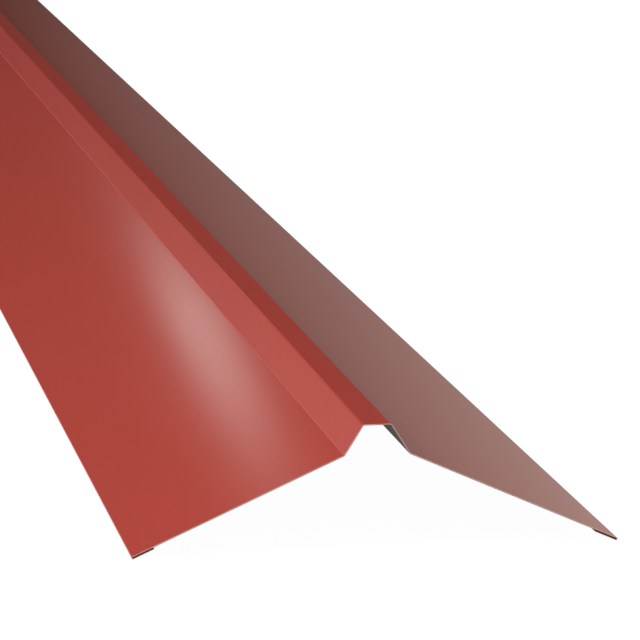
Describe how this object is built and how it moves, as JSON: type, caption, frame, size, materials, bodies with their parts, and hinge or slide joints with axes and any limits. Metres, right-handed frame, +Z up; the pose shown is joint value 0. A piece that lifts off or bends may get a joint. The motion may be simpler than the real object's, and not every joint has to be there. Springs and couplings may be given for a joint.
{
  "type": "roof ridge cap",
  "caption": "Long painted steel ridge cap: a low trapezoidal ridge between flat sloping wings with hemmed edges, laid over the top joint of a pitched roof to shed water.",
  "frame": {"origin": "on the floor under the middle of the cap, which stands on its two hems", "axes": "+X across the ridge, +Y along the ridge, +Z up through the flat top"},
  "size_m": [0.2426, 3, 0.0629],
  "materials": {
    "painted_sheet": "semi-gloss red coil paint on top, grey back coat underneath, bare steel at the cut ends"
  },
  "bodies": {
    "root": {"ridge_cap": "painted_sheet"}
  },
  "joints": []
}
